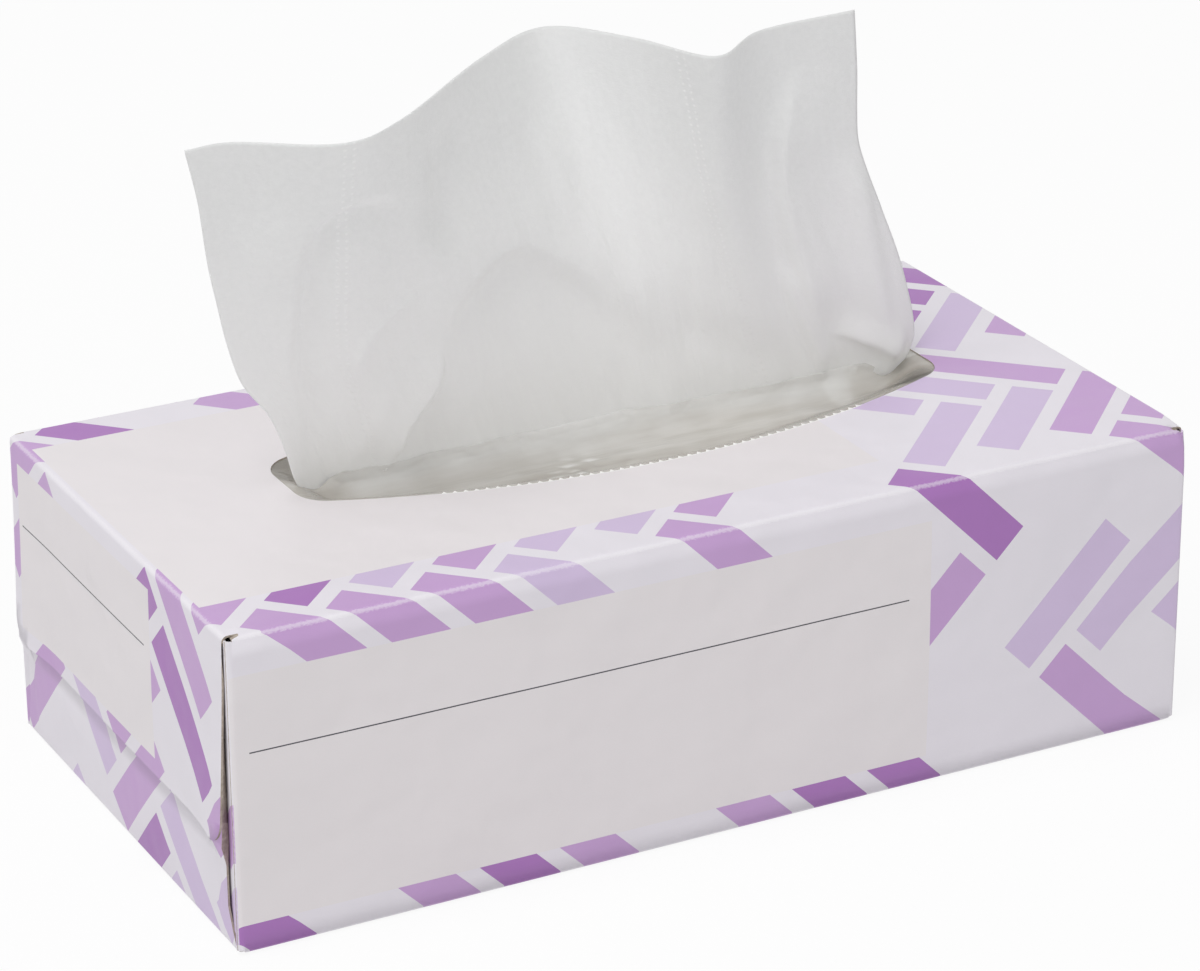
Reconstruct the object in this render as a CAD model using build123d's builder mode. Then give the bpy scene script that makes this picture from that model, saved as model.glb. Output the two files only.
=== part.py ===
from build123d import *
import os
from math import asin, cos, degrees, exp, pi, sin, sqrt

# Millimetres. The origin is the middle of the carton's base: +X along the carton, -Y to its front, +Z up.

# Folded carton
carton_length = 225.0
carton_width = 118.0
carton_height = 70.0
board = 0.45
fold_radius = 1.3
flap_inset = 1.5
lower_flap_inset = 1.5
outer_flap_drop = 47.0
lower_flap_rise = 46.0
dust_flap_length = 42.0
dust_flap_relief = 0.9
flap_gap = 1.2
glue_bead_width = 5.0
glue_bead_height = 30.0
glue_bead_inset = 12.0
flap_corner_radius = 6.0
glue_flap_height = 14.0
glue_flap_relief = 3.0
glue_line = 0.05
seam_lift = 0.4

# Opening torn out of the top panel, with a serrated front edge
opening_length = 155.0
opening_width = 54.0
opening_end_width = 21.0
opening_corner_radius = 8.0
opening_shift_x = 6.5
opening_shift_y = 6.0
serrated_length = 101.0
tooth_pitch = 2.3
tooth_depth = 0.9

# Film glued under the opening, slack enough to sag, with a slit for the tissue
film = 0.15
film_margin = 9.0
film_corner_radius = 6.0
film_sag = 5.0
film_slope_angle = 45.0
slit_end_land = 1.0

# Pack of interleaved tissues
stack_end_gap = 7.3
stack_side_gap = 7.0
stack_head_space = 11.5
stack_fold_radius = 5.0
seat_gap = 0.1

# Raised tissue
tissue = 0.3
sheet_width = 205.0
tissue_rise = 82.0
pleat_depth = 1.8
pleat_count = 6
slit_clearance = 0.4
flare_power = 0.7
wave_power = 1.3
side_edge_reach = 0.2
fold_fade = 8.0
tucked_length = 44.0
tucked_width = 190.0

# Levels and insides that several pieces share
half_length = carton_length / 2
half_width = carton_width / 2
dust_flap_face = half_length - 2 * board - flap_gap
inside_length = 2 * (dust_flap_face - board)
inside_width = carton_width - 4 * board
panel_underside = carton_height - board
film_top = panel_underside - glue_line
film_floor = film_top - film_sag
stack_top = panel_underside - stack_head_space
slit_width = 2 * (pleat_depth + tissue / 2 + slit_clearance)
slope_run = film_sag * sin(film_slope_angle * pi / 180) / cos(film_slope_angle * pi / 180)
slit_length = opening_length - 2 * (slope_run + slit_end_land)


def fold_path(plane, points):
    """Board bent along a line of flat stretches, as a sketch that is one board thick."""
    with BuildSketch(plane) as bent:
        with BuildLine():
            FilletPolyline(*points, radius=fold_radius - board / 2)
        trace(line_width=board)
    return bent.sketch


def opening_outline():
    """Oval with bowed long sides and blunt ends, centred on the sketch."""
    with BuildSketch() as outline:
        with BuildLine():
            end_x = opening_length / 2
            end_y = opening_end_width / 2
            side_y = opening_width / 2
            front = ThreePointArc((-end_x, -end_y), (0, -side_y), (end_x, -end_y))
            back = ThreePointArc((-end_x, end_y), (0, side_y), (end_x, end_y))
            Line(front @ 0, back @ 0)
            Line(front @ 1, back @ 1)
        make_face()
        fillet(outline.vertices(), radius=opening_corner_radius)
    return outline.sketch


# The bowed front edge is part of one circle, and its teeth are spaced round it
bow = (opening_width - opening_end_width) / 2
bow_radius = ((opening_length / 2) ** 2 + bow**2) / (2 * bow)
serrated_angle = 2 * degrees(asin(serrated_length / 2 / bow_radius))
tooth_angle = degrees(tooth_pitch / bow_radius)
tooth_count = int(serrated_angle / tooth_angle)

opening_plane = Plane((opening_shift_x, opening_shift_y, carton_height))

with BuildPart() as carton:
    # Top panel with the outer end flaps, folded down and glued over the other flaps
    outer_x = half_length - board / 2
    outer = [
        (-outer_x, carton_height - outer_flap_drop),
        (-outer_x, carton_height - board / 2),
        (outer_x, carton_height - board / 2),
        (outer_x, carton_height - outer_flap_drop),
    ]
    outer_y = half_width - flap_inset
    extrude(fold_path(Plane.XZ.offset(-outer_y), outer), amount=2 * outer_y)
    flap_tips = carton.edges().filter_by(Axis.X).group_by(Axis.Z)[0]
    fillet(flap_tips, radius=flap_corner_radius)

    # Four panels wrapped round the length, from the back panel's raw edge to the glue flap inside it
    tube_end = dust_flap_face - fold_radius
    glue_flap_y = half_width - 1.5 * board - glue_line
    wrap = [
        (half_width - board / 2, seam_lift),
        (half_width - board / 2, carton_height - board / 2),
        (-half_width + board / 2, carton_height - board / 2),
        (-half_width + board / 2, board / 2),
        (glue_flap_y, board / 2),
        (glue_flap_y, fold_radius + seam_lift),
    ]
    extrude(fold_path(Plane.YZ.offset(-tube_end), wrap), amount=2 * tube_end)
    # Rest of the glue flap, with its glue reaching into the back panel
    glue_flap_end = tube_end - glue_flap_relief
    with BuildSketch(Plane.YZ.offset(-glue_flap_end)):
        with Locations((glue_flap_y - board / 2, fold_radius)):
            Rectangle(board + 2 * glue_line, glue_flap_height, align=(Align.MIN, Align.MIN))
    extrude(amount=2 * glue_flap_end)

    # Dust flaps, folded in from the front and back panels
    dust_x = dust_flap_face - board / 2
    dust_y = half_width - board / 2
    dust_tip = dust_y - dust_flap_length
    for side in (-1, 1):
        dust = [
            (-dust_x, side * dust_tip),
            (-dust_x, side * dust_y),
            (dust_x, side * dust_y),
            (dust_x, side * dust_tip),
        ]
        dust_plane = Plane.XY.offset(dust_flap_relief)
        extrude(fold_path(dust_plane, dust), amount=carton_height - 2 * dust_flap_relief)

    # Lower end flaps, folded up from the bottom panel over the dust flaps
    lower_x = half_length - 1.5 * board
    lower = [
        (-lower_x, board + lower_flap_rise),
        (-lower_x, board / 2),
        (lower_x, board / 2),
        (lower_x, board + lower_flap_rise),
    ]
    lower_y = half_width - lower_flap_inset
    extrude(fold_path(Plane.XZ.offset(-lower_y), lower), amount=2 * lower_y)

    # Glue beads between the dust flaps and the lower flaps, which stand a little off them
    bead_x = (dust_flap_face + lower_x - board / 2) / 2
    bead_z = lower_flap_rise / 2
    with BuildSketch(Plane.XY.offset(bead_z - glue_bead_height / 2)):
        with GridLocations(2 * bead_x, 2 * (dust_tip + glue_bead_inset), 2, 2):
            Rectangle(flap_gap + 2 * glue_line, glue_bead_width)
    extrude(amount=glue_bead_height)

    # Torn opening, with teeth left standing along its front edge
    with BuildSketch(opening_plane):
        add(opening_outline())
        with Locations((0, bow_radius - opening_width / 2)):
            with PolarLocations(
                bow_radius,
                tooth_count + 1,
                start_angle=270 - tooth_count * tooth_angle / 2,
                angular_range=tooth_count * tooth_angle,
                endpoint=True,
            ):
                Polygon(
                    (tooth_depth, tooth_pitch / 2),
                    (tooth_depth, -tooth_pitch / 2),
                    (-tooth_depth, 0),
                    align=None,
                    mode=Mode.SUBTRACT,
                )
    extrude(amount=-2 * board, mode=Mode.SUBTRACT)
carton.part.label = "carton"

with BuildPart() as film_window:
    # Flat border glued under the top panel
    film_plane = Plane((opening_shift_x, opening_shift_y, film_top))
    with BuildSketch(film_plane):
        film_length = opening_length + 2 * film_margin
        film_width = opening_width + 2 * film_margin
        RectangleRounded(film_length, film_width, film_corner_radius)
    extrude(amount=-film)
    # Slack middle, hanging as a shallow dish inside the opening
    with BuildSketch(film_plane):
        add(opening_outline())
    extrude(amount=-film_sag, taper=film_slope_angle)
    with BuildSketch(film_plane):
        add(opening_outline())
        offset(amount=-film * 1.5)
    extrude(amount=-film_sag + film, taper=film_slope_angle, mode=Mode.SUBTRACT)
    # Slit along the dish's floor
    with BuildSketch(film_plane):
        SlotOverall(slit_length, slit_width)
    extrude(amount=-film_sag - film, mode=Mode.SUBTRACT)
film_window.part.label = "film_window"

with BuildPart() as tissue_stack:
    stack_length = inside_length - 2 * stack_end_gap
    stack_width = inside_width - 2 * stack_side_gap
    stack_bottom = board + seat_gap
    with BuildSketch(Plane.YZ.offset(-stack_length / 2)):
        with Locations((0, (stack_bottom + stack_top) / 2)):
            RectangleRounded(stack_width, stack_top - stack_bottom, stack_fold_radius)
    extrude(amount=stack_length)
tissue_stack.part.label = "tissue_stack"

# Raised tissue: where its top edge bends, seen from above and from the middle of the opening
top_edge_bends = [
    (-102.5, -15.0),
    (-91.5, -15.0),
    (-73.5, -26.0),
    (-56.5, -18.0),
    (-24.5, 10.5),
    (-3.5, 23.0),
    (9.5, 7.0),
    (18.5, -12.5),
    (35.5, -1.5),
    (60.5, 1.5),
]
with BuildLine() as top_edge:
    Spline(*top_edge_bends)
# Its side edges, as rise over the slit and distance from the middle of the opening
left_edge_bends = [
    (0, -70.0),
    (5, -75.0),
    (12, -77.5),
    (22.5, -82.5),
    (33.5, -89.5),
    (56, -95.5),
    (87.5, -102.5),
]
right_edge_bends = [
    (0, 70.0),
    (6.5, 76.0),
    (13, 77.0),
    (28.5, 72.5),
    (41.5, 67.5),
    (56.5, 62.0),
    (87.5, 60.5),
]
# Its large folds: where each runs on the flat sheet, how far it stands out to the front, and how wide it is
large_folds = [
    ([(0, 10), (2, 22), (8, 34), (12, 49), (16, 62), (22, 72)], 2.4, 8.0),
    ([(54, 26), (56, 34), (63, 42), (80, 48), (100, 43), (111, 36), (117, 27), (118, 17)], 1.7, 9.0),
    ([(104, 91), (101, 79), (99, 68), (100, 57), (106, 46), (112, 35), (116, 16)], 1.6, 9.0),
    ([(197, 74), (193, 66), (188, 58), (184, 50), (182, 32), (182, 14)], -2.6, 6.0),
]
sheet_steps = 72
sheet_height = carton_height - film_floor + tissue_rise
slit_sheet_length = slit_length - 2 * slit_clearance - slit_width / 2


def side_edge_at(bends, rise):
    """Distance of a side edge from the middle of the opening, at one height over the slit."""
    for (low, before), (high, after) in zip(bends, bends[1:]):
        if rise <= high:
            return before + (after - before) * (rise - low) / (high - low)
    return bends[-1][1]


def distance_to_fold(path, across, rise):
    """Distance on the flat sheet from one place to the line that a fold runs along."""
    nearest = sheet_width
    for (x, z), (next_x, next_z) in zip(path, path[1:]):
        run_x = next_x - x
        run_z = next_z - z
        share = ((across - x) * run_x + (rise - z) * run_z) / (run_x**2 + run_z**2)
        share = min(max(share, 0), 1)
        gap = sqrt((across - x - share * run_x) ** 2 + (rise - z - share * run_z) ** 2)
        nearest = min(nearest, gap)
    return nearest


def sheet_line(rise):
    """Fanned sheet seen from above at one height over the slit, from its left side to its right."""
    flare = (rise / sheet_height) ** flare_power
    wave = (rise / sheet_height) ** wave_power
    line = []
    for step in range(sheet_steps + 1):
        across = step / sheet_steps
        top = top_edge.line @ across
        crowding = (2 * across - 1) ** 2
        slit_x = (across - 0.5) * slit_sheet_length
        slit_y = pleat_depth * crowding * sin(2 * pi * pleat_count * across)
        line.append((slit_x + (top.X - slit_x) * flare, slit_y + (top.Y - slit_y) * wave))
    left_pull = side_edge_at(left_edge_bends, rise) - line[0][0]
    right_pull = side_edge_at(right_edge_bends, rise) - line[-1][0]
    pulled = []
    for step, (x, y) in enumerate(line):
        across = step / sheet_steps
        x += left_pull * exp(-((across / side_edge_reach) ** 2))
        x += right_pull * exp(-(((1 - across) / side_edge_reach) ** 2))
        pulled.append((x, y))
    return pulled


def push_at(across, rise):
    """How far the large folds stand out to the front at one place on the sheet."""
    push = 0
    for path, stand, width in large_folds:
        push += stand * exp(-((distance_to_fold(path, across, rise) / width) ** 2))
    return push * min(rise / fold_fade, 1)


def sheet_section(rise):
    """Closed outline of the sheet, one tissue thick, at one height over the slit."""
    middle = sheet_line(rise)
    front = []
    back = []
    for step, (x, y) in enumerate(middle):
        before = middle[max(step - 1, 0)]
        after = middle[min(step + 1, sheet_steps)]
        run_x = after[0] - before[0]
        run_y = after[1] - before[1]
        run = sqrt(run_x**2 + run_y**2)
        push = push_at(step / sheet_steps * sheet_width, rise)
        to_front = push + tissue / 2
        to_back = push - tissue / 2
        front.append((x + run_y / run * to_front, y - run_x / run * to_front))
        back.append((x + run_y / run * to_back, y - run_x / run * to_back))
    with BuildSketch(Plane((opening_shift_x, opening_shift_y, film_floor + rise))) as section:
        Polygon(*front, *reversed(back), align=None)
    return section.sketch


with BuildPart() as raised_tissue:
    # From the slit up to the free edge
    section_shares = [0, 0.04, 0.09, 0.15, 0.22, 0.3, 0.39, 0.48, 0.58, 0.7, 0.84, 1.0]
    loft([sheet_section(share * sheet_height) for share in section_shares], ruled=True)
    # Down from the slit to the pack, with the other half lying folded on it
    foot_bottom = stack_top + seat_gap
    extrude(sheet_section(0), amount=-(film_floor - foot_bottom))
    with BuildSketch(Plane.XY.offset(foot_bottom)):
        with Locations((opening_shift_x, opening_shift_y - pleat_depth)):
            Rectangle(tucked_width, tucked_length, align=(Align.CENTER, Align.MIN))
    extrude(amount=2 * tissue)
raised_tissue.part.label = "raised_tissue"

os.makedirs("parts", exist_ok=True)
export_step(carton.part, "parts/carton.step")
export_step(film_window.part, "parts/film_window.step")
export_step(tissue_stack.part, "parts/tissue_stack.step")
export_step(raised_tissue.part, "parts/raised_tissue.step")
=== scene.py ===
import bpy
import math
import numpy as np
from mathutils import Matrix, Vector


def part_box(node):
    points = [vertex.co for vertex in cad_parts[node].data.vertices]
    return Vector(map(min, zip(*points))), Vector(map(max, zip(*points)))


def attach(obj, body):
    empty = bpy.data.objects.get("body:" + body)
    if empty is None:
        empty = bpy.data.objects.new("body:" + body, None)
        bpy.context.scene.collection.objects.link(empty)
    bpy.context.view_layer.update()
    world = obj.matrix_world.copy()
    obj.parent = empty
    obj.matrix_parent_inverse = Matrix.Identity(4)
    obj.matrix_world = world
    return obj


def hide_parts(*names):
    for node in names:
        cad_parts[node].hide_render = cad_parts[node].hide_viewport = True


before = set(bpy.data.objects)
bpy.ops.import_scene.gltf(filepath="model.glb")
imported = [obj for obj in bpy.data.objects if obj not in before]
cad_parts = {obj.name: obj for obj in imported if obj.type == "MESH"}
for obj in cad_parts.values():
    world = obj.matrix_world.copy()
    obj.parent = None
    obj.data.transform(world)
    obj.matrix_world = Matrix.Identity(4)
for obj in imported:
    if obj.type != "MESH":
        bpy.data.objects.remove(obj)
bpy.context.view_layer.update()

# Everything is in metres; values given in millimetres are multiplied by MM
MM = 0.001

# Sizes read from the frame
carton_low, carton_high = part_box("carton")
film_low, film_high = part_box("film_window")
stack_low, stack_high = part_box("tissue_stack")
tissue_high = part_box("raised_tissue")[1]
HALF_LENGTH = (carton_high.x - carton_low.x) / 2
HALF_WIDTH = (carton_high.y - carton_low.y) / 2
HEIGHT = carton_high.z
FILM_HALF_LENGTH = (film_high.x - film_low.x) / 2
FILM_HALF_WIDTH = (film_high.y - film_low.y) / 2
OPENING_X = (film_low.x + film_high.x) / 2
OPENING_Y = (film_low.y + film_high.y) / 2

# Carton board, how deep its dust flaps lie behind the outer end flaps, and how high those flaps end
BOARD = 0.45 * MM
FOLD_RADIUS = 1.3 * MM
FLAP_DEPTH = 2.1 * MM
OUTER_FLAP_LOW = 22.9 * MM
GRID_STEP = 4.5 * MM
# Spare distance when points are compared with a size
SLACK = 0.05 * MM

# How far the board has eased: its panels' bow, its top's sag and the size that each one's unevenness has
SIDE_BOW = 0.6 * MM
END_BOW = 0.5 * MM
TOP_SAG = 0.5 * MM
SIDE_UNEVENNESS = 90 * MM
TOP_UNEVENNESS = 80 * MM
# How far side panels and dust flaps stand out at the left and right ends, and how much more at the corners
LEFT_STAND = 1.0 * MM
RIGHT_STAND = 1.3 * MM
CORNER_STAND = 0.8 * MM
# How much narrower the lower flaps are at each side edge, and how far the outer flaps taper and spring out
LOWER_FLAP_INSET = 2.8 * MM
LOWER_FLAP_SWELL = 0.3 * MM
OUTER_FLAP_TAPER = 1.6 * MM
LEFT_FLAP_SPRING = -1.7 * MM
RIGHT_FLAP_SPRING = 0.2 * MM
FLAP_EDGE_BAND = 8 * MM
# Knocked corner, right front top
DENT_REACH = 4.5 * MM
DENT_DEPTH = 0.5 * MM

# Print, in millimetres on the unfolded board: across from the middle, and back from the middle of the top
PRINT_CELL = 13.0
BAR_WIDTH = 9.2
BLOCK_CELLS = 3
GROUND_INK = "#E3DFE6"
BAR_INKS = [(0.0, GROUND_INK), (0.3, "#CDBBDA"), (0.55, "#C19DCD"), (0.78, "#A672B6")]
FRONT_FOLD = -HALF_WIDTH / MM
FRONT_FOOT = FRONT_FOLD - HEIGHT / MM
END_FOLD = HALF_LENGTH / MM
END_FOOT = END_FOLD + HEIGHT / MM
PANEL_END = END_FOLD - FLAP_DEPTH / MM
# Bare panels for a label on the top, the front and both ends, each with its two opposite corners
BARE_PANELS = {
    "top": ((-111.0, -43.0), (44.7, 48.0)),
    "front": ((-112.4, FRONT_FOOT + 6.5), (48.0, FRONT_FOOT + 61.5)),
    "left end": ((-END_FOOT + 27.0, -20.0), (-END_FOOT + 65.0, 53.8)),
    "right end": ((END_FOOT - 65.0, -53.8), (END_FOOT - 27.0, 20.0)),
}
THIN_RULES = {
    "front": ((-106.8, FRONT_FOOT + 44.3), (42.7, FRONT_FOOT + 44.6)),
    "left end": ((-END_FOOT + 51.2, -16.8), (-END_FOOT + 51.5, 51.6)),
    "right end": ((END_FOOT - 51.5, -51.6), (END_FOOT - 51.2, 16.8)),
}
# Painted shadow: a thin dark grey-purple line along the front panel's right edge, for the shadowed gap to the
# end flap
PAINTED_GAP_SHADOW = ((PANEL_END - 0.5, FRONT_FOOT), (PANEL_END + 0.5, FRONT_FOLD - 1.5))
PAINTED_GAP_SHADOW_STRENGTH = 0.75
# Cracked ink: how far from a fold it reaches, in millimetres, and how much of the lining shows
CRACK_REACH = 1.9
CRACK_STRENGTH = 0.42
# White band along the serrated edge, partly torn fibres and partly a painted highlight on the teeth: half the
# length of its row of teeth, and the band's place and half width
TEETH_REACH = 51.0
TORN_AND_HIGHLIGHT_INSET = 0.5
TORN_AND_HIGHLIGHT_HALF_WIDTH = 0.75

# Film window, with its border under the board and the run of the slope into its dish
FILM_THICKNESS = 0.1 * MM
FILM_MARGIN = 9.0 * MM
FILM_DISH_RUN = 13.0 * MM
FILM_COLUMNS = 301
FILM_ROWS = 45
ROW_CROWDING = 1.7
OPENING_END_WIDTH = 21.0 * MM
OPENING_HALF_LENGTH = FILM_HALF_LENGTH - FILM_MARGIN
OPENING_HALF_WIDTH = FILM_HALF_WIDTH - FILM_MARGIN
# The opening's front and back edges lie on circles that stand out by the bow at the middle
OPENING_BOW = OPENING_HALF_WIDTH - OPENING_END_WIDTH / 2
OPENING_BOW_RADIUS = (OPENING_HALF_LENGTH**2 + OPENING_BOW**2) / (2 * OPENING_BOW)
SLIT_LENGTH = 143.0 * MM
SLIT_END_RUN = 8 * MM
SLIT_GAP = 0.2 * MM
# Lips of the slit: how wide the pulled-up strip is, how high it stands, and how many rows of the sheet
# it meets
LIP_REACH = 4.6 * MM
LIP_RISE = 5.4 * MM
LIP_ROWS = 14
LIP_CURL = 1.5
LIP_UNEVENNESS = 60 * MM
BACK_LIP_SHARE = 0.8
# Slow slackness all over, and a patch of small crinkles in front: from the middle of the slit, and its reach
SLACK_RISE = 0.3 * MM
SLACK_SIZE = 28 * MM
CRINKLE_RISE = 0.45 * MM
CRINKLE_SIZE = 5 * MM
CRINKLES_X, CRINKLES_ACROSS = -14 * MM, 12 * MM
CRINKLES_LENGTH, CRINKLES_WIDTH = 9 * MM, 5 * MM
# A corner of the film folded over itself at the right, in front: its place, its half width at the slit,
# its run and its lean
FOLDED_X = 57 * MM
FOLDED_HALF_WIDTH = 4 * MM
FOLDED_RUN = 13 * MM
FOLDED_LEAN = 0.3
# Clear tips, where the dark inside shows, before the slit at the right and behind it at the left: place
# along the box and across from the slit, reach along and across in millimetres, and how much haze is gone
CLEAR_TIPS = {-1: (70.5, 9.5, 6.5, 5.5, 0.33), 1: (-74.0, 9.0, 6.5, 8.0, 0.24)}
# Haze, from 0 clear to 1 white: all over, and what lips, the folded corner and glints add; the lips' share
# is partly creasing and partly a painted highlight, and the glints are painted highlights
FILM_HAZE = 0.64
LIP_HAZE_AND_HIGHLIGHT = 0.22
FOLDED_HAZE = 0.06
GLINT_HAZE = 0.4
# What goes again away from the slit, towards the left end and, in front, towards the right end
OUTER_CLEARING = 0.07
LEFT_CLEARING = 0.1
RIGHT_CLEARING = 0.08
HAZE_RANGE = (0.06, 0.95)

# Pack of folded tissues: cuts along, across and up, and how far its layers stand back at its sides
PACK_LAYERS = 26
PACK_CUTS = (24, 12, PACK_LAYERS)
LAYER_INSETS = (0.2 * MM, 0.9 * MM)
RIM_INSETS = (3 * MM, 1 * MM)

# Raised tissue: its flat size, its width where the slit gathers it, and how it fans and waves on its way up
SHEET_WIDTH = 0.205
SHEET_AT_SLIT = 140.0 * MM
TISSUE_THICKNESS = 0.2 * MM
SHEET_COLUMNS = 257
SHEET_ROWS = 121
EDGE_POINTS = 60
FLARE_POWER = 0.7
WAVE_POWER = 1.3
LEFT_EDGE_SHARE = 0.2
RIGHT_EDGE_SHARE = 0.16
PLEAT_COUNT = 6
PLEAT_DEPTH = 1.6 * MM
# Its hidden half: how far it drops to the pack, lies back over it and is wide there, and its two layers' gap
TUCK_DROPS = np.array([0, 1.4, 2.8, 4.2, 5.2, 5.7]) * MM
TUCK_LEVEL = film_low.z - 5.85 * MM
TUCK_START, TUCK_END, TUCK_TURN = 1.5 * MM, 41 * MM, 41.6 * MM
TUCK_POINTS = 16
TUCK_WIDTH = 190 * MM
TUCK_GAP = 0.28 * MM

# Top edge of the tissue seen from above, in millimetres from the middle of the base
TOP_EDGE = [
    (-96.0, -9.0),
    (-85.5, -9.0),
    (-67.0, -20.0),
    (-50.0, -12.0),
    (-18.0, 16.5),
    (3.0, 29.0),
    (16.0, 13.0),
    (25.0, -6.5),
    (42.0, 4.5),
    (67.0, 7.5),
]
# Its two side edges, as height and distance along the box, in millimetres
LEFT_EDGE = [
    (64.5, -65.0),
    (69.2, -68.4),
    (76.7, -71.0),
    (87.1, -75.8),
    (98.0, -83.0),
    (120.7, -88.9),
    (139.4, -92.6),
    (152.0, -96.0),
]
RIGHT_EDGE = [
    (64.5, 78.0),
    (71.1, 82.6),
    (77.3, 83.4),
    (93.1, 79.1),
    (106.2, 73.9),
    (121.2, 68.3),
    (139.4, 67.8),
    (152.0, 67.0),
]
# Folds of the shown half: how far each stands out, how wide it is on its left and on its right, and where
# it runs on the flat sheet (across from its left side, up from the slit), all in millimetres
FOLDS = {
    "left roll": (1.6, 9.0, 8.0, [(-2, 8), (0, 20), (5, 32), (9, 46), (13, 60), (19, 74)]),
    "left hollow": (
        -1.8, 1.5, 7.0,
        [(5.5, 5), (9, 16), (15, 28), (19, 42), (22, 54), (24.5, 62), (28, 67), (34, 70), (43, 69), (52, 66)],
    ),
    "upper hollow": (-1.8, 8.0, 8.0, [(84, 84), (78, 80), (70, 72), (65, 62), (58, 51)]),
    "middle dome": (
        2.4, 13.0, 3.6,
        [
            (54, 26), (56, 34), (63, 42), (71, 46), (80, 48),
            (89, 48), (100, 43), (111, 36), (117, 27), (118, 17),
        ],
    ),
    "thin crease": (0.7, 0.9, 4.0, [(26, 26), (30, 32), (34.5, 38), (40, 42), (46, 44.5), (54, 47)]),
    "sharp pleat": (1.8, 6.0, 0.9, [(26, 3), (33, 9), (39, 15), (46, 19), (50.5, 22.5), (54, 27), (55, 33)]),
    "second pleat": (0.5, 2.4, 3.2, [(15, 4), (23, 11.5), (29, 17), (35, 22), (40, 28)]),
    "long slope": (
        1.6, 11.0, 4.5,
        [(108, 76), (108, 67), (110, 57), (115, 46), (120, 35), (123, 26), (124, 16)],
    ),
    "right ridge": (
        3.0, 12.0, 2.6,
        [(192, 80), (188, 73), (184, 66), (181, 58), (179, 49), (178, 41), (178, 32), (179, 22), (180, 12)],
    ),
    "gathered ridge": (1.8, 5.0, 1.6, [(172, 36), (173.5, 27), (175, 19), (176.5, 13), (178, 8), (179.5, 2)]),
    "right roll": (1.4, 3.0, 4.0, [(204, 60), (201, 48), (198, 38), (196, 27), (195, 16), (194, 7)]),
    "low swag": (-0.8, 6.0, 6.0, [(130, 26), (141, 21), (152, 17), (163, 14), (174, 12)]),
    "hanging edge": (2.2, 5.0, 1.0, [(181, 16), (184, 14), (187, 12.6), (191, 10.4), (195, 8), (201, 5.5)]),
}
FOLD_POINTS = 160
FOLD_STAND = 1.3
# Chance crumpling of the shown half, in millimetres: slow waves and finer ones, which grow near the slit
SLOW_CRUMPLE, SLOW_CRUMPLE_SIZE = 0.35, 42
FINE_CRUMPLE, FINE_CRUMPLE_SIZE = 0.12, 13
SLIT_CRUMPLE, SLIT_CRUMPLE_REACH = 0.25, 22
# The two embossed lines: across the flat sheet at the slit, and how far they lean for each millimetre up
EMBOSSED_LINES = [(24.4, 0.1), (161.3, -0.112)]
# Their dots: half the gap between a line's two rows, how fast a dot fades out sideways, and the dots' spacing
DOT_ROW_OFFSET = 1.0
DOT_FADE = 1.8
DOT_PITCH = 1.6

# Camera worked out from the carton's corners: place, azimuth, tilt down and roll in degrees, and lens
CAMERA_PLACE = (-0.40793, -0.78302, 0.43803)
CAMERA_AZIMUTH, CAMERA_TILT, CAMERA_ROLL = -27.547, 23.344, -0.379
CAMERA_LENS = 133.48
CAMERA_SENSOR = 36.0
# Square lamps: width in metres, watts and place; both shine at the middle of the carton's top
LAMPS = {
    "soft_window": (1.2, 20.0, (-0.85, -0.3, 1.8)),
    "front_fill": (1.2, 3.8, (-0.2, -1.5, 0.3)),
}
LAMP_TARGET = Vector((0, 0, 0.07))
SURROUND_LIGHT = 0.53
GROUND_SIZE = 6
GROUND_DROP = 0.2 * MM
GROUND_GLOW = 0.92


def linear(hex_colour):
    """Linear RGBA of an sRGB hex colour."""
    parts = [int(hex_colour[k : k + 2], 16) / 255 for k in (1, 3, 5)]
    return [p / 12.92 if p <= 0.04045 else ((p + 0.055) / 1.055) ** 2.4 for p in parts] + [1.0]


def add_node(tree, kind, inputs=None, stops=(), **settings):
    """Adds a shader node; an input is a value, a socket, or a node that gives its first output."""
    made = tree.nodes.new("ShaderNode" + kind)
    for name, value in settings.items():
        setattr(made, name, value)
    for socket, value in (inputs or {}).items():
        if isinstance(value, bpy.types.Node):
            value = value.outputs[0]
        if isinstance(value, bpy.types.NodeSocket):
            tree.links.new(value, made.inputs[socket])
        else:
            made.inputs[socket].default_value = value
    # A colour ramp starts with two stops
    for k, (position, colour) in enumerate(stops):
        elements = made.color_ramp.elements
        stop = elements[k] if k < 2 else elements.new(position)
        stop.position = position
        stop.color = linear(colour)
    return made


def start_material(name):
    """An empty node material and its tree."""
    material = bpy.data.materials.new(name)
    material.use_nodes = True
    material.node_tree.nodes.clear()
    return material, material.node_tree


def deselect_all():
    for each in bpy.context.selected_objects:
        each.select_set(False)


def make_active(piece):
    deselect_all()
    piece.select_set(True)
    bpy.context.view_layer.objects.active = piece


def give_wall(piece, thickness):
    """Gives a sheet its thickness, half of it on each side."""
    wall = piece.modifiers.new("wall", "SOLIDIFY")
    wall.thickness = thickness
    wall.offset = 0
    make_active(piece)
    bpy.ops.object.modifier_apply(modifier=wall.name)


def cut_into_grid(low, high, counts):
    """Cuts the mesh that is in edit mode into even slices along each axis."""
    for axis, count in enumerate(counts):
        normal = [0, 0, 0]
        normal[axis] = 1
        for k in range(1, count):
            place = list(low)
            place[axis] = low[axis] + (high[axis] - low[axis]) * k / count
            bpy.ops.mesh.select_all(action="SELECT")
            bpy.ops.mesh.bisect(plane_co=place, plane_no=normal)


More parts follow.
